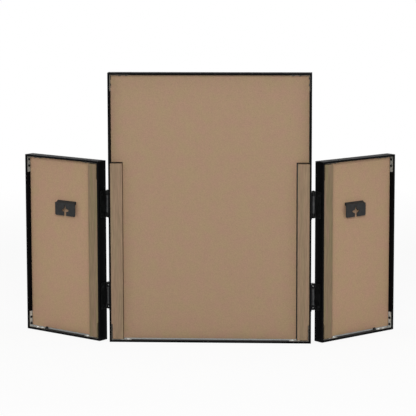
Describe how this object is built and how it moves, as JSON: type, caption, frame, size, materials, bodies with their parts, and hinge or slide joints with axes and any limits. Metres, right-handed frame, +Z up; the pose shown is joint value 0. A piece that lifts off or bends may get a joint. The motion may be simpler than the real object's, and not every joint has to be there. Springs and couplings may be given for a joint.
{
  "type": "trifold vanity mirror",
  "caption": "Free-standing trifold mirror: a framed centre panel with a shorter framed wing hinged to each side, fibreboard backs, zinc corner brackets and keyhole hangers.",
  "frame": {"origin": "middle of the centre panel's bottom face, half way through its depth", "axes": "+Z up; +X across the panels, to the right of someone who looks into the mirror; the mirror side faces -Y"},
  "size_m": [1.066, 0.2221, 0.762],
  "materials": {
    "frame_coat": "black satin powder coat on aluminium extrusion",
    "mirror_glass": "silvered float glass, clear, 5 mm",
    "board_fibre": "raw brown fibreboard, 12 mm",
    "batten_fibre": "raw moisture-resistant fibreboard, olive",
    "zinc_steel": "bright zinc plating",
    "hinge_steel": "black lacquered steel, semi-gloss",
    "hinge_screw_steel": "black lacquered steel screws",
    "hanger_steel": "pressed steel, black chromate",
    "hanger_screw_steel": "steel screws, black chromate",
    "block_rubber": "moulded black rubber",
    "strip_foam": "light grey closed-cell foam rubber strip"
  },
  "bodies": {
    "centre_panel": {"centre_backing_board": "board_fibre", "centre_batten_left": "batten_fibre", "centre_batten_right": "batten_fibre", "centre_corner_bracket_bottom_left": "zinc_steel", "centre_corner_bracket_bottom_right": "zinc_steel", "centre_corner_bracket_top_left": "zinc_steel", "centre_corner_bracket_top_right": "zinc_steel", "centre_hinge_screws": "hinge_screw_steel", "centre_mirror_glass": "mirror_glass", "centre_rail_bottom": "frame_coat", "centre_rail_left": "frame_coat", "centre_rail_right": "frame_coat", "centre_rail_top": "frame_coat", "centre_seating_strip": "strip_foam", "centre_setting_blocks": "block_rubber", "left_lower_hinge_fixed_leaf": "hinge_steel", "left_lower_hinge_pin": "hinge_steel", "left_upper_hinge_fixed_leaf": "hinge_steel", "left_upper_hinge_pin": "hinge_steel", "right_lower_hinge_fixed_leaf": "hinge_steel", "right_lower_hinge_pin": "hinge_steel", "right_upper_hinge_fixed_leaf": "hinge_steel", "right_upper_hinge_pin": "hinge_steel"},
    "right_wing": {"right_backing_board": "board_fibre", "right_batten": "batten_fibre", "right_corner_bracket_bottom_left": "zinc_steel", "right_corner_bracket_bottom_right": "zinc_steel", "right_corner_bracket_top_left": "zinc_steel", "right_corner_bracket_top_right": "zinc_steel", "right_hanger": "hanger_steel", "right_hanger_screws": "hanger_screw_steel", "right_hinge_screws": "hinge_screw_steel", "right_lower_hinge_moving_leaf": "hinge_steel", "right_mirror_glass": "mirror_glass", "right_rail_bottom": "frame_coat", "right_rail_left": "frame_coat", "right_rail_right": "frame_coat", "right_rail_top": "frame_coat", "right_seating_strip": "strip_foam", "right_setting_blocks": "block_rubber", "right_upper_hinge_moving_leaf": "hinge_steel"},
    "left_wing": {"left_backing_board": "board_fibre", "left_batten": "batten_fibre", "left_corner_bracket_bottom_left": "zinc_steel", "left_corner_bracket_bottom_right": "zinc_steel", "left_corner_bracket_top_left": "zinc_steel", "left_corner_bracket_top_right": "zinc_steel", "left_hanger": "hanger_steel", "left_hanger_screws": "hanger_screw_steel", "left_hinge_screws": "hinge_screw_steel", "left_lower_hinge_moving_leaf": "hinge_steel", "left_mirror_glass": "mirror_glass", "left_rail_bottom": "frame_coat", "left_rail_left": "frame_coat", "left_rail_right": "frame_coat", "left_rail_top": "frame_coat", "left_seating_strip": "strip_foam", "left_setting_blocks": "block_rubber", "left_upper_hinge_moving_leaf": "hinge_steel"}
  },
  "joints": [
    {"name": "right_wing_hinge", "type": "hinge", "parent": "centre_panel", "child": "right_wing", "pos_m": [0.2892, -0.01775, 0], "axis": [0, 0, -1], "range_deg": [-50.1, 144.9]},
    {"name": "left_wing_hinge", "type": "hinge", "parent": "centre_panel", "child": "left_wing", "pos_m": [-0.2892, -0.01775, 0], "axis": [0, 0, 1], "range_deg": [-56.7, 138.3]}
  ]
}
